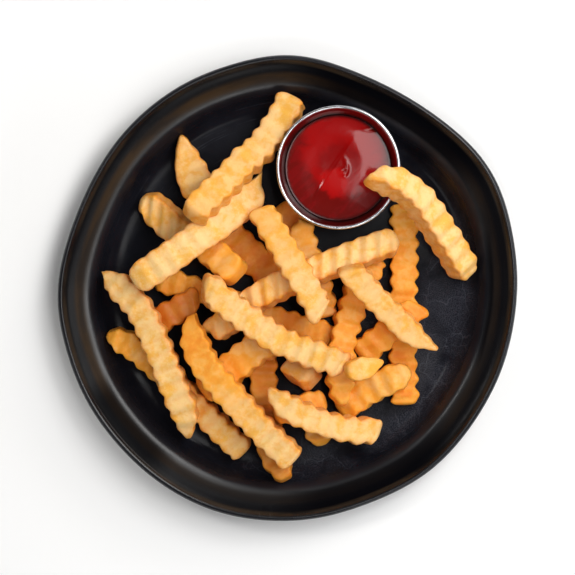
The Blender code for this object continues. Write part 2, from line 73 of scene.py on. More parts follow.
#   name        breadth depth  start taper  end taper  sway lift roll pitch  plan path
FRIES = (
    ("cup_side",   25, 11.0, (8, 0.6),   (8, 0.6),   0.65, 0.2,   0, None, ((280, 204), (293, 222), (309, 238))),
    ("slab",       32, 10.5, (8, 0.7),   (8, 0.7),   0.5, 0.2,    0, None, ((222, 228), (252, 257), (286, 288))),
    ("thread",     15,  9.0, (8, 0.5),   (8, 0.6),   0.5, 0.2,    0, None, ((271, 238), (281, 247), (293, 257))),
    ("long_base",  25, 11.0, (8, 0.6),   (10, 0.6),  0.65, 0.3,   0, None, ((156, 279), (200, 291), (262, 315), (334, 337))),
    ("stub_left",  26, 10.5, (8, 0.6),   (12, 0.6),  0.6, 0.3,    0, None, ((150, 324), (174, 312), (199, 297))),
    ("down_left",  27, 11.0, (8, 0.7),   (26, 0.5),  0.65, 0.4,   0, None, ((264, 346), (263, 375), (265, 402), (268, 427), (273, 453), (286, 480))),
    ("small_low",  26, 10.5, (8, 0.7),   (12, 0.45), 0.6, 0.3,    0, None, ((313, 408), (317, 426), (322, 446))),
    ("upright",    26, 11.5, (4, 0.9),   (4, 0.9),   0.95, 0.3,   0, None, ((404, 204), (405, 250), (404, 300), (403, 350), (405, 405))),
    ("corner",     31, 11.5, (10, 0.45), (8, 0.7),   0.5, 0.5,   20, None, ((143, 196), (163, 216), (190, 242))),
    ("leaf",       33, 11.0, (44, 0.14), (10, 0.7),  0.35, 0.2,   0, None, ((181, 135), (189, 165), (201, 198))),
    ("right_low",  27, 11.5, (8, 0.6),   (6, 0.75),  0.55, 0.25,  0, None, ((360, 355), (388, 332), (419, 305))),
    ("cup_small",  25, 10.5, (8, 0.5),   (6, 0.7),   0.75, 0.3,   0, None, ((299, 222), (306, 250), (318, 285), (325, 316))),
    ("cross_low",  25, 10.5, (8, 0.7),   (8, 0.6),   0.6, 0.3,    0, None, ((274, 414), (300, 407), (326, 401))),
    ("far_left",   24, 11.0, (16, 0.4),  (6, 0.75),  0.6, 0.3,   10, None, ((107, 334), (130, 345), (160, 370), (186, 395), (213, 422), (245, 453))),
    ("shadowed",   31, 11.5, (8, 0.7),   (8, 0.7),   0.8, 0.3,   10, None, ((284, 331), (250, 354), (204, 392))),
    ("low_right",  28, 11.0, (8, 0.6),   (18, 0.45), 0.5, 0.25,   0, None, ((341, 410), (366, 392), (410, 370))),
    ("middle_rt",  26, 11.0, (6, 0.7),   (26, 0.35), 0.8, 0.3,   -8, None, ((375, 257), (357, 295), (344, 335), (340, 372), (342, 405))),
    ("nub_low",    25, 11.0, (4, 0.9),   (5, 0.8),   0.2, 0.1,  -12, 0.75, ((289, 364), (302, 372), (314, 380))),
    ("nub",        29, 12.0, (4, 0.9),   (7, 0.7),   0.35, 0.15,  0, 0.60, ((208, 248), (224, 262), (238, 276))),
    ("cross",      26, 11.5, (12, 0.6),  (6, 1.0),   0.5, 0.6,   14, None, ((397, 240), (345, 259), (300, 277), (265, 294), (238, 313), (213, 333))),
    ("bent_left",  27, 11.5, (20, 0.25), (34, 0.25), 0.75, 0.3,   8, None, ((106, 272), (122, 288), (140, 309), (153, 334), (164, 360), (176, 390), (185, 412), (189, 437))),
    ("taper",      25, 11.5, (5, 0.8),   (44, 0.25), 0.5, 0.3,    6, None, ((347, 267), (371, 294), (392, 315), (416, 337), (437, 349))),
    ("broad",      31, 11.5, (12, 0.6),  (14, 0.5),  0.3, 0.2,    0, None, ((135, 282), (165, 262), (197, 239), (228, 217), (259, 188))),
    ("centre",     27, 11.5, (5, 0.85),  (5, 0.8),   0.75, 0.2,   0, None, ((261, 209), (278, 240), (301, 278), (322, 315))),
    ("top_left",   28, 12.0, (8, 0.6),   (6, 0.75),  0.65, 0.25, -13, None, ((191, 217), (225, 184), (243, 165), (263, 146), (283, 117), (294, 97))),
    ("long_mid",   28, 11.5, (12, 0.5),  (8, 0.75),  0.8, 0.3,    0, None, ((204, 281), (222, 299), (250, 320), (275, 338), (300, 349), (325, 358), (346, 366))),
    ("chip_end",   23,  8.0, (14, 0.6),  (26, 0.15), 0.2, 0.1,    0, None, ((345, 370), (362, 368), (382, 361))),
    ("curved_low", 25, 11.0, (18, 0.35), (8, 0.6),   0.7, 0.25,   6, None, ((269, 388), (285, 404), (307, 416), (332, 425), (357, 430), (378, 430))),
    ("long_low",   27, 11.5, (26, 0.3),  (5, 0.85),  0.75, 0.35,  8, None, ((190, 316), (194, 336), (203, 360), (222, 385), (246, 412), (270, 437), (295, 460))),
)
LEANER = ("leaner", 24.6, 12.0, (20, 0.42), (14, 0.6), 0.5, 0.4, -28, -0.56,
          ((365, 182), (380, 181), (396, 185), (410, 194), (422, 206), (436, 226), (448, 244), (458, 260), (467, 276)))

# Finish of each fry. The tone grade is painted shade: it runs from 0, pale, to 1, deep orange brown, for fries that
# lie low in the heap, in shade, and may be given for the start and the end of the path; dark is painted shade too,
# browner still. Crest is a plan point where the side to the left of the path stands out. Slant0 and slant1 turn the
# two cut ends, in degrees. Skew turns the ridges across the fry. Band is the ripple of the top face in mm. Sides are
# the shares of the crinkle on the left and the right side. Horn0 and horn1 draw out an end: place across
# it, shift in grid steps and width of the horn. Tip0 and tip1 narrow an end: over how many grid steps,
# and to which share. Round is the edge radius in mm, wide a factor on the breadth
# and thin the share of the depth that a tip keeps.
FINISH = {
    "cup_side":   dict(shade_tone=0.80, dark=0.22),
    "slab":       dict(shade_tone=0.84, dark=0.08),
    "thread":     dict(shade_tone=0.90, dark=0.2),
    "long_base":  dict(shade_tone=0.62, band=0.15),
    "stub_left":  dict(shade_tone=0.84, dark=0.6, slant1=25),
    "down_left":  dict(shade_tone=0.66, dark=0.40),
    "small_low":  dict(shade_tone=0.44),
    "upright":    dict(shade_tone=(0.54, 0.78), crest=(419, 244), band=0.22),
    "corner":     dict(shade_tone=0.04, skew=38, band=0.34, tip0=(34, 0.62), sides=(0.8, 1.6)),
    "leaf":       dict(shade_tone=0.10, band=0.14, sides=(1.5, 0.6)),
    "right_low":  dict(shade_tone=0.74, dark=0.06, slant1=-20, band=0.15),
    "cup_small":  dict(shade_tone=0.38, band=0.15, horn0=(0.3, (-1, -3), 0.5)),
    "cross_low":  dict(shade_tone=0.62),
    "far_left":   dict(shade_tone=(0.46, 0.08), band=0.32, tip0=(24, 0.8), sides=(1.2, 1.2)),
    "shadowed":   dict(shade_tone=(0.16, 0.80), band=0.22),
    "low_right":  dict(shade_tone=0.44, band=0.16),
    "middle_rt":  dict(shade_tone=0.58, band=0.15),
    "nub_low":    dict(shade_tone=0.04, band=0.0, round=1.1),
    "nub":        dict(shade_tone=0.42, band=0.12, sides=(1.4, 1.4)),
    "cross":      dict(shade_tone=(0.00, 0.14), skew=-22, band=0.19, slant1=0, horn1=(-0.8, (-5, 2), 0.35), tip1=(16, 0.8)),
    "bent_left":  dict(shade_tone=0.00, band=0.20, horn0=(-0.2, (-3, 0), 0.6), tip0=(30, 0.62)),
    "taper":      dict(shade_tone=0.08, band=0.12, slant0=28, tip1=(34, 0.55)),
    "broad":      dict(shade_tone=0.00, band=0.10, slant1=14, horn1=(0.36, (2, -14), 0.30), tip1=(22, 0.86)),
    "centre":     dict(shade_tone=(0.36, 0.00), band=0.12, slant1=-30, slant0=12),
    "top_left":   dict(shade_tone=(0.22, 0.00), band=0.10, slant1=0, sides=(0.85, 1.25)),
    "long_mid":   dict(shade_tone=0.03, band=0.20, slant0=-33, slant1=12, tip0=(22, 0.8)),
    "chip_end":   dict(shade_tone=0.30, band=0.05, round=1.0),
    "curved_low": dict(shade_tone=0.03, band=0.12, slant1=20, tip0=(36, 0.58)),
    "long_low":   dict(shade_tone=(0.66, 0.00), band=0.20, horn0=(0.45, (5, -3), 0.6), tip0=(34, 0.66)),
    "leaner":     dict(shade_tone=0.00, band=0.16, sides=(0.7, 0.7), round=1.2, wide=1.10, tip0=(36, 0.42), thin=0.25),
}


# ---------------------------------------------------------------- the same laying as in the CAD
def rim_radius(angle):
    radius = RIM_BASE
    for bearing, height, width in RIM_SWELLS:
        away = (math.degrees(angle) - bearing + 180.0) % 360.0 - 180.0
        radius += height * MM * math.exp(-(away / width) ** 2)
    return radius


def outline_shift():
    ring = [2 * math.pi * k / 60 for k in range(60)]
    xs = [rim_radius(a) * math.cos(a) for a in ring]
    ys = [rim_radius(a) * math.sin(a) for a in ring]
    return (max(xs) + min(xs)) / 2, (max(ys) + min(ys)) / 2


SHIFT = outline_shift()


def follow(radius):
    return min(1.0, max(0.0, (radius - FOOT_OUTER) / (SHOULDER_RADIUS - FOOT_OUTER)))


def plate_point(radius, angle):
    share = follow(radius)
    stretch = 1.0 + (rim_radius(angle) / RIM_MEAN - 1.0) * share
    return (radius * stretch * math.cos(angle) - SHIFT[0] * share,
            radius * stretch * math.sin(angle) - SHIFT[1] * share)


def smooth_step(t):
    t = min(1.0, max(0.0, t))
    return t * t * (3.0 - 2.0 * t)


def well_height(radius):
    if radius <= WELL_RADIUS:
        return WELL_TOP
    if radius <= SHOULDER_RADIUS:
        t = (radius - WELL_RADIUS) / (SHOULDER_RADIUS - WELL_RADIUS)
        return WELL_TOP + (SHOULDER_TOP - WELL_TOP) * (0.75 * smooth_step(t) + 0.25 * t * t)
    t = (radius - SHOULDER_RADIUS) / (RIM_MEAN - SHOULDER_RADIUS)
    return SHOULDER_TOP + (PLATE_HEIGHT - SHOULDER_TOP) * (1.0 - (1.0 - min(1.0, t)) ** 1.6)


def cup_outer(height):
    t = height / CUP_HEIGHT
    return CUP_BASE + (CUP_RIM - CUP_BEAD * 0.75 - CUP_BASE) * (0.85 * t + 0.15 * t * t)


def run_path(points):
    pts = np.array([((u - MIDDLE[0]) * PITCH, (MIDDLE[1] - v) * PITCH) for u, v in points])
    ends = np.vstack([2 * pts[0] - pts[1], pts, 2 * pts[-1] - pts[-2]])
    curve = []
    for i in range(1, len(ends) - 2):
        a, b, c, d = ends[i - 1], ends[i], ends[i + 1], ends[i + 2]
        for t in np.linspace(0, 1, 24, endpoint=False):
            curve.append(0.5 * (2 * b + (c - a) * t + (2 * a - 5 * b + 4 * c - d) * t ** 2
                                + (3 * b - a - 3 * c + d) * t ** 3))
    curve.append(pts[-1])
    curve = np.array(curve)
    along = np.concatenate([[0], np.cumsum(np.linalg.norm(np.diff(curve, axis=0), axis=1))])
    return curve, along


def at(run, s):
    curve, along = run
    x = np.interp(s, along, curve[:, 0])
    y = np.interp(s, along, curve[:, 1])
    h = 0.6 * MM
    dx = np.interp(s + h, along, curve[:, 0]) - np.interp(s - h, along, curve[:, 0])
    dy = np.interp(s + h, along, curve[:, 1]) - np.interp(s - h, along, curve[:, 1])
    size = np.hypot(dx, dy)
    return x, y, -dy / size, dx / size


def breadth_at(row, s, length):
    _, breadth, _, start, end = row[:5]
    def side(distance, taper):
        t = np.clip(distance / (taper[0] * PITCH), 0, 1)
        return taper[1] + (1 - taper[1]) * np.sin(t * math.pi / 2)
    return breadth * PITCH * side(s, start) * side(length - s, end)


def cut(v, half_w, half_t, roll):
    c, s = math.cos(roll), math.sin(roll)
    reach = half_w * abs(c) + half_t * abs(s)
    x = v * reach
    if abs(s) < 1e-4:
        return x, -half_t * np.ones_like(x), half_t * np.ones_like(x)
    first, second = (half_w - x * c) / s, (-half_w - x * c) / s
    low = np.maximum((-half_t + x * s) / c, np.minimum(first, second))
    high = np.minimum((half_t + x * s) / c, np.maximum(first, second))
    return x, low, high


class Table:
    def __init__(self, reach=0.125):
        self.reach = reach
        self.n = int(2 * reach / STEP) + 1
        axis = np.linspace(-reach, reach, self.n)
        gx, gy = np.meshgrid(axis, axis, indexing="ij")
        radius = np.hypot(gx, gy)
        angle = np.arctan2(gy, gx)
        rim = np.array([rim_radius(math.radians(d)) for d in range(-180, 181)])
        stretch = np.interp(np.degrees(angle), np.arange(-180, 181), rim) / RIM_MEAN
        nominal = radius / stretch
        steps = np.linspace(0, 0.14, 141)
        self.map = np.interp(nominal, steps, [well_height(r) for r in steps]) + GAP
        self.gx, self.gy = gx, gy

    def index(self, x, y):
        i = np.clip(np.round((x + self.reach) / STEP).astype(int), 1, self.n - 2)
        j = np.clip(np.round((y + self.reach) / STEP).astype(int), 1, self.n - 2)
        return i, j

    def under(self, x, y):
        return self.map[self.index(x, y)]

    def add(self, x, y, z):
        np.maximum.at(self.map, self.index(x, y), z - NEST)

    def add_cup(self):
        away = np.hypot(self.gx - CUP_X, self.gy - CUP_Y)
        rim = away < CUP_RIM + 0.3 * MM
        inside = away < CUP_RIM - CUP_BEAD - 0.5 * MM
        self.map[rim] = np.maximum(self.map[rim], WELL_TOP + GAP + CUP_HEIGHT + GAP)
        self.map[inside] = WELL_TOP + GAP + DIP_LEVEL + 2.2 * MM


def lay(row, table, spare=0.0):
    name, breadth, depth, start, end, sway, lift, roll, pitch, points = row
    run = run_path(points)
    length = run[1][-1]
    s = np.linspace(0, length, max(8, int(length / (1.6 * MM))))
    share = np.linspace(-1, 1, 9)
    x, y, nx, ny = at(run, s)
    half_w = breadth_at(row, s, length) / 2 - 0.9 * MM
    half_t = depth * MM / 2
    middle = length / 2
    slopes = [pitch] if pitch is not None else np.arange(-0.34, 0.341, 0.02)
    bows = [0.0] if pitch is not None else [-5.0, -3.6, -2.4, -1.2, 0.0, 1.2, 2.4]
    angle = math.radians(roll)
    xs, lows = [], []
    for w in half_w:
        off, low, _ = cut(share, w, half_t, angle)
        xs.append(off)
        lows.append(low)
    xs, lows = np.array(xs), np.array(lows)
    ground = table.under(x[:, None] + nx[:, None] * xs, y[:, None] + ny[:, None] * xs) + spare
    need = ground - lows
    best = None
    for bow in bows:
        arch = bow * ((s - middle) ** 2)[:, None]
        for slope in slopes:
            rise = slope * (s - middle)[:, None]
            steep = half_t * (math.hypot(1.0, slope) - 1.0)
            base = float(np.max(need - rise - arch)) + steep
            level = base + float(np.mean(arch)) + 0.2 * float(np.max(rise + arch))
            if best is None or level < best[0] - 1e-7:
                best = (level, base, slope, bow)
    _, base, slope, bow = best
    fine = np.linspace(0, length, max(12, int(length / (0.5 * MM))))
    across = np.linspace(-1, 1, 41)
    x, y, nx, ny = at(run, fine)
    z = base + slope * (fine - middle) + bow * (fine - middle) ** 2
    for k, w in enumerate(breadth_at(row, fine, length) / 2):
        off, _, high = cut(across, w, half_t, angle)
        table.add(x[k] + nx[k] * off, y[k] + ny[k] * off, z[k] + high)
    return {"row": row, "run": run, "length": length, "base": base, "slope": slope, "bow": bow, "roll": angle}


# ---------------------------------------------------------------- helpers
def value_noise(points, cell, seed):
    """Smooth noise from -1 to 1 at an (n, 3) array of points."""
    rng = np.random.default_rng(seed)
    table = rng.uniform(-1.0, 1.0, 4096)
    p = points / cell
    base = np.floor(p).astype(np.int64)
    f = p - base
    f = f * f * (3 - 2 * f)
    out = np.zeros(len(points))
    for dx in (0, 1):
        for dy in (0, 1):
            for dz in (0, 1):
                key = ((base[:, 0] + dx) * 73856093 ^ (base[:, 1] + dy) * 19349663 ^ (base[:, 2] + dz) * 83492791) & 4095
                weight = (f[:, 0] if dx else 1 - f[:, 0]) * (f[:, 1] if dy else 1 - f[:, 1]) * (f[:, 2] if dz else 1 - f[:, 2])
                out += weight * table[key]
    return out


def line_noise(s, cell, seed):
    pts = np.stack([s, np.full_like(s, 0.37 * cell), np.full_like(s, 0.61 * cell)], axis=-1)
    return value_noise(pts.reshape(-1, 3), cell, seed).reshape(s.shape)


def mesh_object(name, verts, faces, mat, colours=None):
    mesh = bpy.data.meshes.new(name)
    mesh.from_pydata([tuple(v) for v in verts], [], faces)
    mesh.materials.append(mat)
    if colours is not None:
        layer = mesh.attributes.new("grade", "FLOAT_COLOR", "POINT")
        layer.data.foreach_set("color", np.asarray(colours, dtype=np.float32).ravel())
    mesh.validate()
    mesh.shade_smooth()
    mesh.update()
    ob = bpy.data.objects.new(name, mesh)
    bpy.context.scene.collection.objects.link(ob)
    return ob


class Nodes:
    """Short hand for building a material's node tree."""

    def __init__(self, name):
        self.mat = bpy.data.materials.new(name)
        self.mat.use_nodes = True
        self.tree = self.mat.node_tree
        self.shader = self.tree.nodes["Principled BSDF"]

    def new(self, kind, **settings):
        node = self.tree.nodes.new(kind)
        for key, value in settings.items():
            setattr(node, key, value)
        return node

    def link(self, a, b):
        self.tree.links.new(a, b)

    def put(self, socket, value):
        if hasattr(value, "is_output"):
            self.link(value, socket)
        elif value is not None:
            socket.default_value = value

    def coords(self):
        return self.new("ShaderNodeTexCoord").outputs["Object"]

    def math(self, operation, a, b=None, c=None, clamp=False):
        node = self.new("ShaderNodeMath", operation=operation, use_clamp=clamp)
        for socket, value in zip(node.inputs, (a, b, c)):
            self.put(socket, value)
        return node.outputs[0]

    def noise(self, vector, scale, detail=3.0, rough=0.55, distortion=0.0):
        node = self.new("ShaderNodeTexNoise")
        self.put(node.inputs["Vector"], vector)
        node.inputs["Scale"].default_value = scale
        node.inputs["Detail"].default_value = detail
        node.inputs["Roughness"].default_value = rough
        node.inputs["Distortion"].default_value = distortion
        return node.outputs["Fac"]

    def span(self, value, low, high, to_low=0.0, to_high=1.0):
        node = self.new("ShaderNodeMapRange")
        node.interpolation_type = "SMOOTHSTEP"
        self.put(node.inputs["Value"], value)
        for key, number in (("From Min", low), ("From Max", high), ("To Min", to_low), ("To Max", to_high)):
            node.inputs[key].default_value = number
        return node.outputs[0]

    def blend(self, factor, a, b):
        node = self.new("ShaderNodeMix", data_type="RGBA")
        self.put(node.inputs[0], factor)
        for socket, value in ((node.inputs[6], a), (node.inputs[7], b)):
            if isinstance(value, tuple):
                value = (*value, 1.0)
            self.put(socket, value)
        return node.outputs[2]

    def bump(self, height, distance, strength=1.0, normal=None):
        node = self.new("ShaderNodeBump")
        node.inputs["Distance"].default_value = distance
        node.inputs["Strength"].default_value = strength
        self.put(node.inputs["Height"], height)
        if normal is not None:
            self.link(normal, node.inputs["Normal"])
        return node.outputs["Normal"]

    def scale(self, vector, factors):
        node = self.new("ShaderNodeVectorMath", operation="MULTIPLY")
        self.put(node.inputs[0], vector)
        node.inputs[1].default_value = factors
        return node.outputs[0]

    def split(self, vector):
        node = self.new("ShaderNodeSeparateXYZ")
        self.put(node.inputs[0], vector)
        return node.outputs

    def join(self, x, y, z):
        node = self.new("ShaderNodeCombineXYZ")
        for socket, value in zip(node.inputs, (x, y, z)):
            self.put(socket, value)
        return node.outputs[0]


# ---------------------------------------------------------------- materials
def fry_material():
    n = Nodes("fried_potato")
    where = n.coords()
    grade = n.new("ShaderNodeAttribute", attribute_name="grade")
    toast_and_shade, shade_tone, own = n.split(grade.outputs["Color"])
    # Each fry reads its own part of the noise.
    shift = n.join(n.math("MULTIPLY", own, 3.7), n.math("MULTIPLY", own, -2.3), n.math("MULTIPLY", own, 5.1))
    moved = n.new("ShaderNodeVectorMath", operation="ADD")
    n.link(where, moved.inputs[0])
    n.link(shift, moved.inputs[1])
    moved = moved.outputs[0]
    blotch = n.noise(moved, 125.0, 3.0, 0.55, 0.4)
    mottle = n.noise(moved, 420.0, 4.0, 0.6)
    grain_and_glint = n.noise(moved, 1500.0, 3.0, 0.6)
    pale, gold, deep = (0.870, 0.560, 0.225), (0.835, 0.425, 0.064), (0.74, 0.225, 0.016)
    mix = n.math("ADD", n.math("MULTIPLY", blotch, 0.72), n.math("MULTIPLY", mottle, 0.28))
    colour = n.blend(n.span(mix, 0.43, 0.64), pale, gold)
    # Painted highlight: fine pale specks stand for glints on the fried skin; the same noise also roughens the bump.
    colour = n.blend(n.math("MULTIPLY", n.span(grain_and_glint, 0.54, 0.70), 0.25), colour, (0.94, 0.72, 0.38))
    # Edges, ends and ridge crests are browner; the same grade carries painted shade on the side walls and in the ridge
    # troughs.
    edge = n.math("MULTIPLY", toast_and_shade, n.span(mottle, 0.3, 0.65, 0.55, 1.0), clamp=True)
    colour = n.blend(n.math("MULTIPLY", edge, 0.95), colour, deep)
    # Painted shade: fries that lie low in the heap, in shade, are deeper orange all over, and the dark grade makes
    # them browner still.
    depth = n.math("MULTIPLY", shade_tone, n.span(mix, 0.40, 0.64, 1.25, 2.25))
    colour = n.blend(n.math("MINIMUM", depth, 0.92), colour, (0.88, 0.365, 0.030))
    colour = n.blend(n.math("SUBTRACT", depth, 0.80, clamp=True), colour, (0.80, 0.230, 0.013))
    colour = n.blend(n.math("SUBTRACT", 1.0, grade.outputs["Alpha"]), colour, (0.30, 0.060, 0.006))
    n.link(colour, n.shader.inputs["Base Color"])
    n.link(n.span(mottle, 0.3, 0.7, 0.36, 0.58), n.shader.inputs["Roughness"])
    n.shader.inputs["Specular IOR Level"].default_value = 0.26
    n.shader.inputs["Subsurface Weight"].default_value = 0.14
    n.shader.inputs["Subsurface Radius"].default_value = (1.0, 0.36, 0.08)
    n.shader.inputs["Subsurface Scale"].default_value = 0.0028
    pits = n.new("ShaderNodeTexVoronoi", feature="SMOOTH_F1")
    n.link(moved, pits.inputs["Vector"])
    pits.inputs["Scale"].default_value = 520.0
    pits.inputs["Smoothness"].default_value = 0.7
    relief = n.math("ADD", n.math("MULTIPLY", mottle, 0.6), n.math("MULTIPLY", grain_and_glint, 0.28))
    relief = n.math("ADD", relief, n.math("MULTIPLY", pits.outputs["Distance"], 0.35))
    n.link(n.bump(relief, 0.00042, 0.7), n.shader.inputs["Normal"])
    return n.mat


def plate_material():
    n = Nodes("dark_glaze")
    where = n.coords()
    x, y, z = n.split(where)
    true_radius = n.math("SQRT", n.math("ADD", n.math("MULTIPLY", x, x), n.math("MULTIPLY", y, y)))
    cos_a, sin_a = n.math("DIVIDE", x, true_radius), n.math("DIVIDE", y, true_radius)
    # The ring that a point lies on, which follows the plate's uneven outline.
    grade = n.new("ShaderNodeAttribute", attribute_name="grade")
    ring, face, spare = n.split(grade.outputs["Color"])
    radius = n.math("MULTIPLY", ring, 0.12)
    # Noise drawn out along the rim: bearing slowly, radius quickly.
    turned = n.join(n.math("MULTIPLY", cos_a, 1.0), n.math("MULTIPLY", sin_a, 1.0), n.math("MULTIPLY", radius, 60.0))
    brush = n.noise(turned, 2.2, 4.0, 0.6, 0.3)
    turned_fine = n.join(n.math("MULTIPLY", cos_a, 2.0), n.math("MULTIPLY", sin_a, 2.0), n.math("MULTIPLY", radius, 420.0))
    lines = n.noise(turned_fine, 2.0, 3.0, 0.6, 0.2)
    fine = n.noise(where, 1900.0, 4.0, 0.65)
    cloud = n.noise(where, 38.0, 4.0, 0.6, 0.5)
    # Dusty, scuffed patches lie at the right and the lower right of the well.
    side = n.math("SUBTRACT", n.math("MULTIPLY", x, 9.0), n.math("MULTIPLY", y, 5.0))
    patch = n.math("MULTIPLY", n.span(side, 0.10, 0.75), n.span(cloud, 0.38, 0.62))
    patch = n.math("MULTIPLY", patch, n.span(radius, 0.100, 0.090))
    dust = n.math("MULTIPLY", patch, n.span(fine, 0.34, 0.74))
    # Fine curved scuffs lie at the upper left of the well.
    upper = n.math("SUBTRACT", n.math("MULTIPLY", y, 9.0), n.math("MULTIPLY", x, 4.0))
    arcs = n.math("MULTIPLY", n.span(lines, 0.60, 0.72), n.span(upper, 0.35, 0.95))
    arcs = n.math("MULTIPLY", n.math("MULTIPLY", arcs, n.span(cloud, 0.40, 0.60)), n.span(radius, 0.099, 0.094))
    crack = n.new("ShaderNodeTexVoronoi", feature="DISTANCE_TO_EDGE")
    warp = n.new("ShaderNodeVectorMath", operation="ADD")
    bend = n.new("ShaderNodeTexNoise")
    bend.inputs["Scale"].default_value = 90.0
    n.link(where, bend.inputs["Vector"])
    n.link(n.scale(bend.outputs["Color"], (0.012, 0.012, 0.012)), warp.inputs[0])
    n.link(where, warp.inputs[1])
    n.link(warp.outputs[0], crack.inputs["Vector"])
    crack.inputs["Scale"].default_value = 62.0
    crackle = n.math("MULTIPLY", n.span(crack.outputs["Distance"], 0.020, 0.0), n.span(side, -0.1, 0.7, 0.04, 0.75))
    crackle = n.math("MULTIPLY", n.math("MULTIPLY", crackle, n.span(cloud, 0.42, 0.6)), n.span(radius, 0.099, 0.093))
    # Painted reflection: a warm brown band on the shoulder, stronger towards the upper left and where the flange is
    # lit, and a painted highlight as a thin pale line just inside the lip.
    def toward(bearing):
        b = math.radians(bearing)
        return n.math("ADD", n.math("MULTIPLY", cos_a, math.cos(b)), n.math("MULTIPLY", sin_a, math.sin(b)))

    around = n.span(toward(150), -0.3, 0.6, 0.22, 1.0)
    # Some stretches of the hand-formed flange lie in the dark.
    lit = n.span(toward(58), 0.82, 0.96, 1.0, 0.12)
    lit = n.math("MULTIPLY", lit, n.span(toward(221), 0.955, 0.99, 1.0, 0.25))
    lit = n.math("MULTIPLY", lit, n.span(toward(294), 0.88, 0.975, 1.0, 0.25))
    lit = n.math("MAXIMUM", lit, n.span(radius, 0.1045, 0.1015))
    lit = n.math("MULTIPLY", lit, n.math("MAXIMUM", n.span(toward(-4), 0.93, 0.985, 1.0, 0.25), n.span(radius, 0.1035, 0.1060)))
    shoulder_brown_sheen = n.math("MULTIPLY", n.span(radius, 0.1020, 0.1050), n.span(radius, 0.1098, 0.1068))
    shoulder_brown_sheen = n.math("MULTIPLY", n.math("MULTIPLY", shoulder_brown_sheen, around), n.span(brush, 0.35, 0.60, 0.35, 1.0))
    lip_highlight_line = n.math("MULTIPLY", n.span(radius, 0.1120, 0.1132), n.span(radius, 0.1152, 0.1140))
    lip_highlight_line = n.math("MULTIPLY", lip_highlight_line, n.span(brush, 0.38, 0.62, 0.10, 1.0))
    flange = n.math("MULTIPLY", n.span(radius, 0.100, 0.104), n.span(radius, 0.117, 0.113))
    colour = n.blend(n.span(cloud, 0.3, 0.7), (0.0048, 0.0052, 0.0080), (0.0082, 0.0088, 0.0130))
    colour = n.blend(flange, colour, (0.0014, 0.0014, 0.0022))
    # Painted sheen: a faint grey over the flange, only where the flange is lit.
    colour = n.blend(n.math("MULTIPLY", n.math("MULTIPLY", flange, lit), 0.22), colour, (0.012, 0.0112, 0.0125))
    # Painted reflection: the warm brown band on the shoulder.
    colour = n.blend(n.math("MULTIPLY", n.math("MULTIPLY", shoulder_brown_sheen, lit), 0.80), colour, (0.038, 0.0190, 0.0055))
    # Painted highlight: the thin pale line just inside the lip.
    colour = n.blend(n.math("MULTIPLY", lip_highlight_line, 0.55), colour, (0.044, 0.029, 0.017))
    colour = n.blend(n.math("MULTIPLY", dust, 0.85), colour, (0.046, 0.049, 0.064))
    scuff = n.math("ADD", n.math("MULTIPLY", crackle, 0.8), n.math("MULTIPLY", arcs, 0.5), clamp=True)
    colour = n.blend(n.math("MULTIPLY", scuff, 0.55), colour, (0.080, 0.087, 0.110))
    n.link(colour, n.shader.inputs["Base Color"])
    rough = n.math("ADD", n.span(cloud, 0.3, 0.7, 0.15, 0.22), n.math("MULTIPLY", dust, 0.12))
    rough = n.math("ADD", rough, n.math("MULTIPLY", fine, 0.05))
    rough = n.math("ADD", rough, n.math("MULTIPLY", n.span(radius, 0.0960, 0.1000), n.span(radius, 0.1100, 0.1060, 0.04, 0.12)))
    n.link(rough, n.shader.inputs["Roughness"])
    # The glaze is glossiest on the shoulder and the lip.
    sheen = n.math("MULTIPLY", n.span(radius, 0.0940, 0.0980), n.span(radius, 0.1050, 0.1018, 0.03, 1.0))
    sheen = n.math("ADD", n.math("MULTIPLY", sheen, 0.34), n.span(radius, 0.1040, 0.1070, 0.10, 0.05))
    sheen = n.math("MULTIPLY", sheen, lit)
    sheen = n.math("MAXIMUM", sheen, n.span(radius, 0.1128, 0.1142, 0.0, 0.38))
    n.link(sheen, n.shader.inputs["Specular IOR Level"])
    height = n.math("ADD", n.math("MULTIPLY", fine, 0.07), n.math("MULTIPLY", cloud, 0.8))
    height = n.math("SUBTRACT", height, n.math("MULTIPLY", crackle, 0.3))
    n.link(n.bump(height, 0.00022, 0.5), n.shader.inputs["Normal"])
    return n.mat


def steel_material():
    n = Nodes("cup_steel")
    where = n.coords()
    x, y, z = n.split(where)
    dx, dy = n.math("SUBTRACT", x, CUP_X), n.math("SUBTRACT", y, CUP_Y)
    radius = n.math("SQRT", n.math("ADD", n.math("MULTIPLY", dx, dx), n.math("MULTIPLY", dy, dy)))
    around = n.join(n.math("MULTIPLY", n.math("DIVIDE", dx, radius), 0.02), n.math("MULTIPLY", n.math("DIVIDE", dy, radius), 0.02),
                    n.math("MULTIPLY", z, 3.0))
    draw = n.noise(around, 300.0, 3.0, 0.6)
    smudge = n.noise(where, 160.0, 3.0, 0.6)
    colour = n.blend(n.span(smudge, 0.3, 0.7), (0.66, 0.65, 0.67), (0.52, 0.52, 0.55))
    # The inside wall above the dip is in the dark.
    colour = n.blend(n.math("MULTIPLY", n.span(radius, 0.0298, 0.0292), n.span(z, 0.020, 0.024)), colour, (0.20, 0.15, 0.15))
    n.link(colour, n.shader.inputs["Base Color"])
    n.shader.inputs["Metallic"].default_value = 1.0
    n.link(n.span(draw, 0.3, 0.7, 0.14, 0.26), n.shader.inputs["Roughness"])
    n.link(n.bump(draw, 0.00004, 0.5), n.shader.inputs["Normal"])
    return n.mat


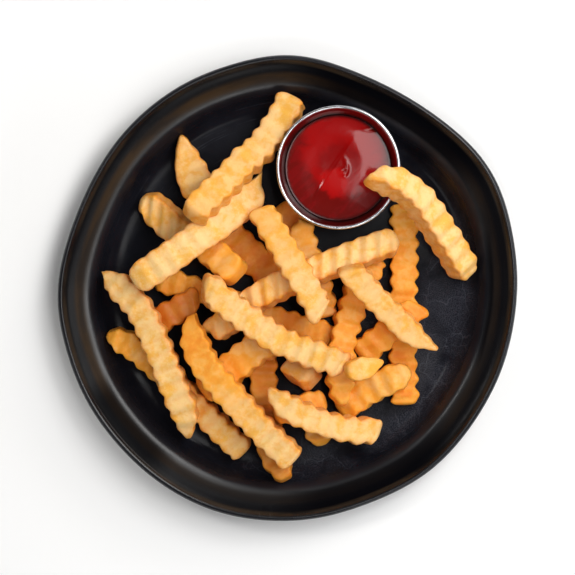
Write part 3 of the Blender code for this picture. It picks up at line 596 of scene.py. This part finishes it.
def dip_material():
    n = Nodes("tomato_dip")
    where = n.coords()
    x, y, z = n.split(where)
    dx, dy = n.math("SUBTRACT", x, CUP_X), n.math("SUBTRACT", y, CUP_Y)
    radius = n.math("SQRT", n.math("ADD", n.math("MULTIPLY", dx, dx), n.math("MULTIPLY", dy, dy)))
    wander = n.noise(where, 85.0, 3.0, 0.5, 1.2)
    streak = n.noise(n.join(n.math("MULTIPLY", n.math("ADD", dx, dy), 0.5), n.math("MULTIPLY", n.math("SUBTRACT", dx, dy), 2.2), z), 110.0, 3.0, 0.6, 0.6)
    fine = n.noise(where, 900.0, 3.0, 0.6)
    # Bright in the upper middle, maroon towards the wall at the left and at the bottom.
    ring = n.math("ADD", radius, n.math("MULTIPLY", n.math("SUBTRACT", wander, 0.5), 0.016))
    ring = n.math("ADD", ring, n.math("MULTIPLY", dy, -0.42))
    ring = n.math("ADD", ring, n.math("MULTIPLY", dx, -0.16))
    colour = n.blend(n.span(ring, 0.015, 0.0225), (0.310, 0.0026, 0.0026), (0.145, 0.0046, 0.0036))
    # A darker bowl round the middle, and painted light on the lump that the spoon left: it is a brighter red, as if
    # lit.
    ax, ay = n.math("SUBTRACT", dx, 0.0005), n.math("SUBTRACT", dy, 0.0035)
    bowl = n.math("SQRT", n.math("ADD", n.math("MULTIPLY", ax, ax), n.math("MULTIPLY", ay, ay)))
    bowl = n.math("ADD", bowl, n.math("MULTIPLY", n.math("SUBTRACT", wander, 0.5), 0.010))
    colour = n.blend(n.span(bowl, 0.0125, 0.0075, 0.0, 0.75), colour, (0.185, 0.0016, 0.0018))
    lx, ly = n.math("ADD", dx, 0.0022), n.math("ADD", dy, 0.0072)
    lump = n.math("SQRT", n.math("ADD", n.math("MULTIPLY", lx, lx), n.math("MULTIPLY", ly, ly)))
    lump = n.math("ADD", lump, n.math("MULTIPLY", n.math("SUBTRACT", wander, 0.5), 0.006))
    colour = n.blend(n.span(lump, 0.0085, 0.0055, 0.0, 0.9), colour, (0.40, 0.0045, 0.0045))
    colour = n.blend(n.math("MULTIPLY", n.span(streak, 0.50, 0.60), n.span(ring, 0.012, 0.020, 0.0, 0.45)), colour, (0.235, 0.004, 0.006))
    # Painted shade: the dip turns nearly black close to the cup wall.
    colour = n.blend(n.span(radius, 0.0248, 0.0268), colour, (0.040, 0.003, 0.003))
    n.link(colour, n.shader.inputs["Base Color"])
    n.link(n.span(fine, 0.3, 0.7, 0.08, 0.13), n.shader.inputs["Roughness"])
    n.shader.inputs["Specular IOR Level"].default_value = 0.28
    n.shader.inputs["Subsurface Weight"].default_value = 0.08
    n.shader.inputs["Subsurface Radius"].default_value = (1.0, 0.15, 0.1)
    n.shader.inputs["Subsurface Scale"].default_value = 0.0012
    n.link(n.bump(n.math("ADD", n.math("MULTIPLY", fine, 0.10), n.math("MULTIPLY", streak, 0.6)), 0.00016, 0.35), n.shader.inputs["Normal"])
    return n.mat


def floor_material():
    n = Nodes("pale_floor")
    n.shader.inputs["Base Color"].default_value = (0.93, 0.93, 0.93, 1.0)
    n.shader.inputs["Roughness"].default_value = 0.9
    n.shader.inputs["Specular IOR Level"].default_value = 0.0
    return n.mat


# ---------------------------------------------------------------- turned pieces
def curve_through(points, per_span):
    """Catmull-Rom curve through profile points."""
    pts = np.array(points)
    ends = np.vstack([2 * pts[0] - pts[1], pts, 2 * pts[-1] - pts[-2]])
    out = []
    for i in range(1, len(ends) - 2):
        a, b, c, d = ends[i - 1], ends[i], ends[i + 1], ends[i + 2]
        for t in np.linspace(0, 1, per_span, endpoint=False):
            out.append(0.5 * (2 * b + (c - a) * t + (2 * a - 5 * b + 4 * c - d) * t ** 2 + (3 * b - a - 3 * c + d) * t ** 3))
    out.append(pts[-1])
    return np.array(out)


def turned(name, profile, sectors, place, mat, height_shift=None):
    """A closed turned body. The profile runs from the top middle, over the edge, to the bottom middle."""
    rings = len(profile)
    verts, marks = [], []
    for radius, height in profile:
        marks += [(radius / 0.12, height / 0.04, 0.0, 1.0)] * sectors
        for k in range(sectors):
            angle = 2 * math.pi * k / sectors
            x, y = place(radius, angle)
            lift = height_shift(radius, angle, height) if height_shift else 0.0
            verts.append((x, y, height + lift))
    faces = []
    for r in range(rings - 1):
        for k in range(sectors):
            j = (k + 1) % sectors
            faces.append((r * sectors + k, (r + 1) * sectors + k, (r + 1) * sectors + j, r * sectors + j))
    top, bottom = len(verts), len(verts) + 1
    first = np.mean(np.array(verts[:sectors]), axis=0)
    last = np.mean(np.array(verts[-sectors:]), axis=0)
    verts += [tuple(first), tuple(last)]
    marks += [marks[0], marks[-1]]
    for k in range(sectors):
        j = (k + 1) % sectors
        faces.append((top, k, j))
        faces.append((bottom, (rings - 1) * sectors + j, (rings - 1) * sectors + k))
    return mesh_object(name, verts, faces, mat, marks)


def make_plate(mat):
    top = [(1 * MM, WELL_TOP), (30 * MM, WELL_TOP), (60 * MM, WELL_TOP), (80 * MM, WELL_TOP)]
    # A soft start to the wall, a steep wall, a rounded shoulder and a nearly flat flange.
    top += [(r * MM, WELL_TOP + h * MM) for r, h in (
        (84, 0.03), (87, 0.22), (90, 0.72), (92, 1.55), (94, 3.0), (96, 5.2), (97.5, 7.2), (98.7, 8.65), (99.8, 9.8),
        (100.8, 10.6), (101.8, 11.12), (102.8, 11.45), (104.2, 11.75), (107, 12.15), (110, 12.7))]
    lip = [(112.2 * MM, PLATE_HEIGHT - 1.95 * MM), (113.6 * MM, PLATE_HEIGHT - 1.2 * MM), (114.6 * MM, PLATE_HEIGHT - 0.3 * MM),
           (115.4 * MM, PLATE_HEIGHT),
           (116.2 * MM, PLATE_HEIGHT - 0.4 * MM), (116.9 * MM, PLATE_HEIGHT - 1.3 * MM), (RIM_MEAN, PLATE_HEIGHT - 2.1 * MM),
           (116.3 * MM, PLATE_HEIGHT - 3.3 * MM)]
    under = [(111.0 * MM, PLATE_HEIGHT - 5.6 * MM), (103.0 * MM, SHOULDER_TOP - 4.2 * MM), (97.0 * MM, 5.4 * MM),
             (90.0 * MM, 2.2 * MM), (80 * MM, 1.95 * MM), (FOOT_OUTER + 2 * MM, 1.8 * MM), (FOOT_OUTER + 0.3 * MM, 0.5 * MM),
             (FOOT_OUTER - 1 * MM, 0.0), (FOOT_INNER + 1 * MM, 0.0), (FOOT_INNER - 0.3 * MM, 0.5 * MM),
             (FOOT_INNER - 2.0 * MM, FOOT_RECESS), (30 * MM, FOOT_RECESS), (1 * MM, FOOT_RECESS)]
    profile = curve_through(top + lip + under, 4)

    def uneven(radius, angle, height):
        if height < 6 * MM or radius < 96 * MM:
            return 0.0
        share = smooth_step((radius - 96 * MM) / (14 * MM))
        wave = math.sin(3 * angle + 0.7) * 0.25 + math.sin(5 * angle + 2.1) * 0.18 + math.sin(8 * angle + 0.3) * 0.10
        return (wave - 0.3) * 0.6 * MM * share

    return turned("plate_glazed", profile, 256, plate_point, mat, uneven)


def make_cup(mat):
    base = WELL_TOP + GAP
    inside = [(1 * MM, CUP_WALL), (CUP_BASE - 5.0 * MM, CUP_WALL), (CUP_BASE - 1.6 * MM, CUP_WALL + 0.5 * MM)]
    inside += [(cup_outer(h * MM) - CUP_WALL, h * MM) for h in (2.6, 5.5, 9.0, 12.5, 16.0, 19.5, 23.0, 26.0, 28.5, 29.6)]
    roll = CUP_BEAD / 2
    middle = CUP_RIM - roll
    bead = [(middle + roll * math.cos(a), CUP_HEIGHT - roll + roll * math.sin(a))
            for a in (math.radians(b) for b in range(170, -100, -18))]
    outside = [(cup_outer(h * MM), h * MM) for h in (29.2, 28.0, 26.0, 23.0, 19.5, 16.0, 12.5, 9.0, 5.5, 2.4)]
    profile = curve_through(inside, 2)
    profile = np.vstack([profile, bead, curve_through(outside + [(CUP_BASE - 1.2 * MM, 0.3 * MM), (CUP_BASE - 3.5 * MM, 0.0), (1 * MM, 0.0)], 2)])
    profile[:, 1] += base

    def place(radius, angle):
        return CUP_X + radius * math.cos(angle), CUP_Y + radius * math.sin(angle)

    return turned("cup_turned", profile, 144, place, mat)


def ridge(x, y, points, height, left, right):
    """A raised line through points in mm, with its own fall-off to the left and to the right."""
    pts = curve_through([(a * MM, b * MM) for a, b in points], 8)
    best = np.full(x.shape, 1.0)
    side = np.zeros(x.shape)
    grow = np.zeros(x.shape)
    for k in range(len(pts) - 1):
        a, b = pts[k], pts[k + 1]
        d = b - a
        t = np.clip(((x - a[0]) * d[0] + (y - a[1]) * d[1]) / (d @ d), 0, 1)
        away = np.hypot(x - a[0] - t * d[0], y - a[1] - t * d[1])
        closer = away < best
        best = np.where(closer, away, best)
        side = np.where(closer, np.sign(d[0] * (y - a[1]) - d[1] * (x - a[0])), side)
        grow = np.where(closer, (k + t) / (len(pts) - 1), grow)
    strength = np.sin(np.clip(grow, 0, 1) * math.pi * 0.9 + 0.16)
    width = np.where(side > 0, left, right) * MM
    return height * MM * strength * np.exp(-(best / width) ** 2)


def dip_height(x, y):
    """Relief of the spooned dip around the cup's middle, in metres above its level at the wall."""
    r = np.hypot(x, y)
    wall = cup_outer(DIP_LEVEL) - CUP_WALL
    # It falls away to the right in one broad flank, with a crest along its left edge.
    p = x * math.cos(math.radians(9)) + y * math.sin(math.radians(9))
    p = p - 13.6 * MM - 0.9 * MM * np.sin(y / (4.2 * MM) + 0.6) + 0.06 * np.abs(y - 6 * MM)
    soft = 1.1 * MM
    slide = soft * np.log1p(np.exp(np.clip(p / soft, -30, 30)))
    gate = np.clip((y + 5.5 * MM + 0.12 * x) / (5.0 * MM), 0, 1)
    stop = np.clip((20.5 * MM - y) / (3.0 * MM), 0, 1)
    flank = -0.118 * slide * gate * gate * (3 - 2 * gate) * stop * stop * (3 - 2 * stop)
    bowl = -0.20 * MM * np.exp(-(((x + 1 * MM) ** 2 + (y - 3 * MM) ** 2) / (10 * MM) ** 2))
    meniscus = 0.12 * MM * np.exp(-(wall - r) / (0.8 * MM))
    # The lump that the spoon left: steep at its upper left, soft at its lower right.
    cx, cy = x + 6.0 * MM, y + 6.8 * MM
    along, across = cx * 0.54 + cy * 0.84, -cx * 0.84 + cy * 0.54
    lump = 0.46 * MM * np.exp(-((along / np.where(along > 0, 19.0 * MM, 8.0 * MM)) ** 2
                                + (across / np.where(across > 0, 1.5 * MM, 16.0 * MM)) ** 2) ** 1.5)
    hook = ridge(x, y, [(3.2, 4.6), (4.5, 1.6), (4.6, -1.4), (3.5, -3.6), (2.0, -3.8)], 0.55, 0.9, 0.9)
    lip = ridge(x, y, [(0.6, -1.4), (2.4, -0.5), (4.2, -0.6)], 0.35, 0.6, 0.8)
    swirl = 0.04 * MM * np.sin(np.arctan2(y, x) * 1.0 - r / (2.6 * MM)) * np.exp(-((r - 17 * MM) / (7 * MM)) ** 2)
    return flank + bowl + meniscus + lump + hook + lip + swirl


def make_dip(mat):
    base = WELL_TOP + GAP
    sectors, rings = 200, 110
    wall = cup_outer(DIP_LEVEL) - CUP_WALL - GAP * 0.8
    radii = wall * np.linspace(0.012, 1.0, rings) ** 0.85
    angles = 2 * math.pi * np.arange(sectors) / sectors
    rr, aa = np.meshgrid(radii, angles, indexing="ij")
    x, y = rr * np.cos(aa), rr * np.sin(aa)
    z = DIP_LEVEL + dip_height(x, y) - 0.3 * MM
    verts = [(CUP_X + a, CUP_Y + b, base + c) for a, b, c in zip(x.ravel(), y.ravel(), z.ravel())]
    for h, r in ((17.0, None), (13.0, None), (8.0, None), (2.8, None), (1.6, CUP_BASE - 4.5 * MM)):
        radius = r or cup_outer(h * MM) - CUP_WALL - GAP * 0.8
        verts += [(CUP_X + radius * math.cos(a), CUP_Y + radius * math.sin(a), base + h * MM) for a in angles]
    total = rings + 5
    faces = []
    for r in range(total - 1):
        for k in range(sectors):
            j = (k + 1) % sectors
            faces.append((r * sectors + k, (r + 1) * sectors + k, (r + 1) * sectors + j, r * sectors + j))
    verts.append((CUP_X, CUP_Y, base + DIP_LEVEL + float(dip_height(np.array(0.0), np.array(0.0))) - 0.3 * MM))
    verts.append((CUP_X, CUP_Y, base + 1.6 * MM))
    for k in range(sectors):
        j = (k + 1) % sectors
        faces.append((len(verts) - 2, k, j))
        faces.append((len(verts) - 1, (total - 1) * sectors + j, (total - 1) * sectors + k))
    return mesh_object("dip_spooned", verts, faces, mat)


# ---------------------------------------------------------------- fries
ARC = 5        # points round one corner of a section
SIDE = 6       # points between two corners


def section(half_w, half_t, radius):
    """Rounded rectangles, one per ring: arrays across, up and how near each point is to a corner."""
    corners = []
    for cx, cy, start in ((1, 1, 0), (-1, 1, 90), (-1, -1, 180), (1, -1, 270)):
        for k in range(ARC):
            a = math.radians(start + 90 * k / (ARC - 1))
            corners.append((cx, cy, math.cos(a), math.sin(a)))
    us, vs, edge = [], [], []
    for i in range(4):
        for k in range(ARC):
            cx, cy, ca, sa = corners[i * ARC + k]
            us.append(cx * (half_w - radius) + radius * ca)
            vs.append(cy * (half_t - radius) + radius * sa)
            edge.append(np.ones_like(half_w))
        cx, cy, ca, sa = corners[i * ARC + ARC - 1]
        dx, dy, cb, sb = corners[((i + 1) % 4) * ARC]
        u0, v0 = cx * (half_w - radius) + radius * ca, cy * (half_t - radius) + radius * sa
        u1, v1 = dx * (half_w - radius) + radius * cb, dy * (half_t - radius) + radius * sb
        for k in range(1, SIDE + 1):
            t = k / (SIDE + 1)
            us.append(u0 + (u1 - u0) * t)
            vs.append(v0 + (v1 - v0) * t)
            reach = np.minimum(t, 1 - t) * np.hypot(u1 - u0, v1 - v0)
            edge.append(np.exp(-(reach / (1.1 * MM)) ** 2) * 0.8)
    return np.stack(us, 1), np.stack(vs, 1), np.stack(edge, 1)


def scallop(phase):
    """Outward swell of one cut side, from -1 to 1: broad rounded crests and narrower troughs."""
    return 0.55 * np.cos(phase) + 0.45 * (2.35 * np.sqrt(np.cos(phase / 2) ** 2 + 0.03) - 1.45)


def fry(item, seed):
    """Vertices, faces and grading of one fry, closed and rounded at both ends."""
    row, length = item["row"], item["length"]
    name, breadth, depth, start, end, sway, lift, roll, pitch, points = row
    look = FINISH[name]
    cap = min(2.4 * MM, length * 0.15)
    inner = np.linspace(cap, length - cap, max(20, int((length - 2 * cap) / (0.52 * MM))))
    near = cap * np.array([0.0, 0.08, 0.2, 0.36, 0.56, 0.78])
    s = np.concatenate([near, inner, length - near[::-1]])
    x, y, nx, ny = at(item["run"], s)
    middle = length / 2
    z = item["base"] + item["slope"] * (s - middle) + item["bow"] * (s - middle) ** 2
    grade = item["slope"] + 2 * item["bow"] * (s - middle)
    half_w = breadth_at(row, s, length) / 2
    taper = half_w / (breadth * PITCH / 2)
    full_t = depth * MM / 2
    thin = look.get("thin", 0.55)
    half_t = full_t * (thin + (1 - thin) * np.clip(taper, 0, 1))
    half_w = half_w * look.get("wide", 1.0) * (1 + 0.05 * line_noise(s, 11 * MM, seed + 1))
    for key, distance in (("tip0", s), ("tip1", length - s)):
        if key in look:
            reach, share = look[key]
            half_w = half_w * (share + (1 - share) * np.sin(np.clip(distance / (reach * PITCH), 0, 1) * math.pi / 2))
    half_t = half_t * (1 + 0.04 * line_noise(s, 13 * MM, seed + 2))
    # The thinner tips lie lower, on what carries the fry.
    z = z - (full_t - half_t) * 0.7
    t = np.clip(np.minimum(s, length - s) / cap, 0, 1)
    round_off = 0.60 + 0.40 * np.sqrt(1 - (1 - t) ** 2)
    half_w, half_t = half_w * round_off, half_t * round_off
    radius = np.minimum(look.get("round", 1.5) * MM * (1 + 0.3 * line_noise(s, 9 * MM, seed + 3)), np.minimum(half_w, half_t) * 0.62)
    u, v, edge = section(half_w, half_t, radius)

    # Frames along the fry.
    tangent = np.stack([ny, -nx, grade], 1)
    tangent /= np.linalg.norm(tangent, axis=1, keepdims=True)
    flat_side = np.stack([nx, ny, np.zeros_like(nx)], 1)
    turn = item["roll"] + math.radians(3.0) * line_noise(s, 22 * MM, seed + 4)
    flat_up = np.cross(tangent, flat_side)
    side = flat_side * np.cos(turn)[:, None] + flat_up * np.sin(turn)[:, None]
    up = np.cross(tangent, side)

    # The crinkle: both cut sides sway together, and the top and bottom ripple.
    if "crest" in look:
        px, py = (look["crest"][0] - MIDDLE[0]) * PITCH, (MIDDLE[1] - look["crest"][1]) * PITCH
        first = s[np.argmin(np.hypot(x - px, y - py))]
    else:
        first = RIDGE_PITCH * (0.5 + 0.5 * math.sin(seed * 1.7))
    skew = math.tan(math.radians(look.get("skew", 0.0)))
    drift = 0.45 * line_noise(s, 26 * MM, seed + 5)
    phase = 2 * math.pi * (s[:, None] - first + u * skew) / RIDGE_PITCH + drift[:, None]
    swing = (1 + 0.30 * line_noise(s, 10 * MM, seed + 6)) * np.clip(taper * 1.15, 0.35, 1)
    fade = np.clip(np.minimum(s, length - s) / (3.5 * MM), 0.15, 1)
    swing = (swing * fade)[:, None]
    wave = np.cos(phase)
    # The cut sides swell and sink by turns, each side with its own unevenness.
    left, right = look.get("sides", (1.0, 1.0))
    uneven_left = left * (1 + 0.40 * line_noise(s, 7 * MM, seed + 9))[:, None]
    uneven_right = right * (1 + 0.40 * line_noise(s, 7 * MM, seed + 10))[:, None]
    sideness = np.clip(np.abs(u) / half_w[:, None], 0, 1) ** 2
    swell = np.where(u > 0, scallop(phase) * uneven_left, scallop(phase + math.pi) * uneven_right)
    top = np.clip(v / full_t, -1, 1)
    flat_u = u
    u = u + np.sign(u) * swing * swell * sideness * sway * MM
    rise = swing * wave * lift * MM
    ripple = swing * np.cos(phase + 0.6) * look.get("band", 0.12) * MM * top
    dish = -0.05 * MM * np.clip(1 - (flat_u / half_w[:, None]) ** 2, 0, 1) * top * fade[:, None]
    v = v + rise + ripple + dish

    # Turn the two cut ends.
    slant = np.zeros_like(u)
    for key, distance in (("slant0", s), ("slant1", length - s)):
        if key in look:
            pull = np.clip(1 - distance / (1.1 * breadth * PITCH), 0, 1) ** 1.6
            slant += (u * pull[:, None]) * math.tan(math.radians(look[key]))
    centre = np.stack([x, y, z], 1)
    pos = centre[:, None, :] + side[:, None, :] * u[..., None] + up[:, None, :] * v[..., None] \
        + tangent[:, None, :] * slant[..., None]
    for key, distance in (("horn0", s), ("horn1", length - s)):
        if key in look:
            place, (px, py), width = look[key]
            pull = np.clip(1 - distance / (0.7 * breadth * PITCH), 0, 1) ** 1.5
            reach = np.exp(-((u / (half_w[:, None] + 1e-9) - place) / width) ** 2) * pull[:, None]
            pos[..., 0] += reach * px * PITCH
            pos[..., 1] -= reach * py * PITCH
    flat = pos.reshape(-1, 3)
    # Blisters and dents from frying.
    out = (side[:, None, :] * (u / half_w[:, None])[..., None] + up[:, None, :] * (v / half_t[:, None])[..., None]).reshape(-1, 3)
    out /= np.linalg.norm(out, axis=1, keepdims=True) + 1e-9
    spot = flat + np.array([0.31, -0.17, 0.23]) * seed * 0.01
    bumps = 0.42 * value_noise(spot, 6.5 * MM, seed) + 0.20 * value_noise(spot, 2.9 * MM, seed + 7) \
        + 0.08 * value_noise(spot, 1.35 * MM, seed + 8)
    flat = flat + out * (bumps * MM)[:, None] * 0.8
    rings, around = u.shape
    verts = [tuple(p) for p in flat]
    faces = []
    for r in range(rings - 1):
        a0, b0 = r * around, (r + 1) * around
        for k in range(around):
            j = (k + 1) % around
            faces.append((a0 + k, a0 + j, b0 + j, b0 + k))
    for ring, flip in ((0, True), (rings - 1, False)):
        hub = len(verts)
        mean = flat[ring * around:(ring + 1) * around].mean(0)
        push = tangent[ring] * (-0.25 * MM if flip else 0.25 * MM)
        verts.append(tuple(mean + push))
        for k in range(around):
            j = (k + 1) % around
            tri = (hub, ring * around + k, ring * around + j)
            faces.append((tri[0], tri[2], tri[1]) if flip else tri)

    # Toasting: edges, ends and crests take more colour. The same grade carries painted shade: the side walls and the
    # ridge troughs are darker orange.
    ends = np.exp(-np.minimum(s, length - s) / (2.2 * MM))[:, None]
    crest = np.clip(wave * np.sign(u), 0, 1) * np.clip(np.abs(u) / half_w[:, None], 0, 1) ** 4
    wall = np.clip((np.abs(flat_u) / half_w[:, None] - 0.74) / 0.26, 0, 1) ** 1.7
    trough = np.clip(-np.cos(phase + 0.6), 0, 1) ** 2
    toast_and_shade = np.clip(0.22 * edge + 0.36 * ends + 0.20 * crest * edge + 0.58 * wall + 0.16 * trough * (0.5 + look.get("band", 0.12) * 2), 0, 1)
    # Painted shade: how deep each fry's shade colour is from its start to its end; the alpha grade darkens it further.
    shade_tone = np.broadcast_to(np.array(look.get("shade_tone", 0.2), dtype=float), (2,))
    share = np.clip((s / length - 0.15) / 0.7, 0, 1)
    shade_tone = shade_tone[0] + (shade_tone[1] - shade_tone[0]) * share * share * (3 - 2 * share)
    own = (math.sin(seed * 12.9898) * 43758.5453) % 1.0
    grades = np.zeros((len(verts), 4), dtype=np.float32)
    grades[:rings * around, 0] = toast_and_shade.reshape(-1)
    grades[rings * around:, 0] = 0.45
    grades[:rings * around, 1] = np.repeat(shade_tone, around)
    grades[rings * around, 1], grades[rings * around + 1, 1] = shade_tone[0], shade_tone[-1]
    grades[:, 2] = own
    grades[:, 3] = 1.0 - look.get("dark", 0.0)
    return verts, faces, grades


def fries_piece(name, items, first_seed, mat):
    verts, faces, grades = [], [], []
    for k, item in enumerate(items):
        v, f, g = fry(item, first_seed + 11 * k)
        base = len(verts)
        verts += v
        faces += [tuple(i + base for i in face) for face in f]
        grades.append(g)
    return mesh_object(name, verts, faces, mat, np.vstack(grades))


# ---------------------------------------------------------------- build
table = Table()
laid = [lay(row, table) for row in FRIES]
table.add_cup()
lean = lay(LEANER, table, 0.8 * MM)

glaze, steel, tomato, potato = plate_material(), steel_material(), dip_material(), fry_material()

plate = make_plate(glaze)
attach(plate, "root"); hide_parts("plate")
cup = make_cup(steel)
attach(cup, "root"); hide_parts("sauce_cup")
dip = make_dip(tomato)
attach(dip, "root"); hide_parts("dip")

for name, low, high in (("fries_under", 0, 8), ("fries_low", 8, 15), ("fries_middle", 15, 22), ("fries_top", 22, 29)):
    piece = fries_piece(name, laid[low:high], 100 + 131 * low, potato)
    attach(piece, "root"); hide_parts("fries_heap")
leaner = fries_piece("fry_leaning", [lean], 9001, potato)
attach(leaner, "root"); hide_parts("leaning_fry")

# ---------------------------------------------------------------- floor, light and camera
floor_mesh = bpy.data.meshes.new("floor")
floor_mesh.from_pydata([(-4, -4, -0.0003), (4, -4, -0.0003), (4, 4, -0.0003), (-4, 4, -0.0003)], [], [(0, 1, 2, 3)])
floor_mesh.materials.append(floor_material())
floor = bpy.data.objects.new("floor", floor_mesh)
bpy.context.scene.collection.objects.link(floor)


def area_light(name, bearing, elevation, distance, width, height, power, colour=(1, 1, 1)):
    light = bpy.data.lights.new(name, "AREA")
    light.shape = "RECTANGLE"
    light.size, light.size_y = width, height
    light.energy = power
    light.color = colour
    ob = bpy.data.objects.new(name, light)
    b, e = math.radians(bearing), math.radians(elevation)
    place = Vector((math.cos(b) * math.cos(e), math.sin(b) * math.cos(e), math.sin(e))) * distance
    ob.location = place
    ob.rotation_mode = "QUATERNION"
    ob.rotation_quaternion = (-place).to_track_quat("-Z", "Y")
    bpy.context.scene.collection.objects.link(ob)
    return ob


area_light("key", 45, 52, 1.3, 0.55, 0.50, 6.6, (1.0, 0.99, 0.97))
area_light("window", 18, 71, 1.3, 0.60, 0.60, 6.8, (1.0, 0.99, 0.98))
area_light("key_low", 46, 30, 1.4, 0.60, 0.34, 3.0, (1.0, 0.94, 0.86))
area_light("fill_upper", 150, 58, 1.3, 0.20, 0.20, 1.8, (1.0, 0.99, 0.97))
area_light("fill_lower", 290, 60, 1.3, 0.44, 0.44, 2.8, (1.0, 0.99, 0.97))
area_light("side_right", 2, 17, 1.5, 1.2, 0.30, 4.8, (0.84, 0.91, 1.0))
area_light("side_below", 300, 18, 1.5, 0.7, 0.30, 1.6, (0.86, 0.92, 1.0))
area_light("side_above", 84, 20, 1.5, 0.7, 0.30, 1.3, (0.90, 0.95, 1.0))
area_light("fill_left", 210, 44, 1.5, 0.6, 0.40, 1.5, (1.0, 0.98, 0.95))

world = bpy.data.worlds.new("soft_room")
bpy.context.scene.world = world
world.use_nodes = True
tree = world.node_tree
back = tree.nodes["Background"]
sky = tree.nodes.new("ShaderNodeTexCoord")
parts = tree.nodes.new("ShaderNodeSeparateXYZ")
ramp = tree.nodes.new("ShaderNodeMapRange")
tree.links.new(sky.outputs["Generated"], parts.inputs[0])
tree.links.new(parts.outputs["Z"], ramp.inputs["Value"])
ramp.inputs["From Min"].default_value = 0.15
ramp.inputs["From Max"].default_value = 0.95
ramp.inputs["To Min"].default_value = 0.22
ramp.inputs["To Max"].default_value = 0.03
tree.links.new(ramp.outputs[0], back.inputs["Strength"])
back.inputs["Color"].default_value = (0.98, 0.99, 1.0, 1.0)

scene = bpy.context.scene
scene.view_settings.view_transform = "Standard"
scene.view_settings.look = "None"
scene.view_settings.exposure = 0.0
scene.view_settings.gamma = 1.0

REACH = 2.6
WIDE = 575 * PITCH
cam = bpy.data.cameras.new("camera")
cam.sensor_width = 36.0
cam.lens = 36.0 * (REACH - 0.02) / WIDE
cam.clip_start, cam.clip_end = 0.1, 20.0
camera = bpy.data.objects.new("camera", cam)
camera.location = (0.0, 0.5 * PITCH, REACH)
camera.rotation_euler = (0.0, 0.0, 0.0)
scene.collection.objects.link(camera)
scene.camera = camera
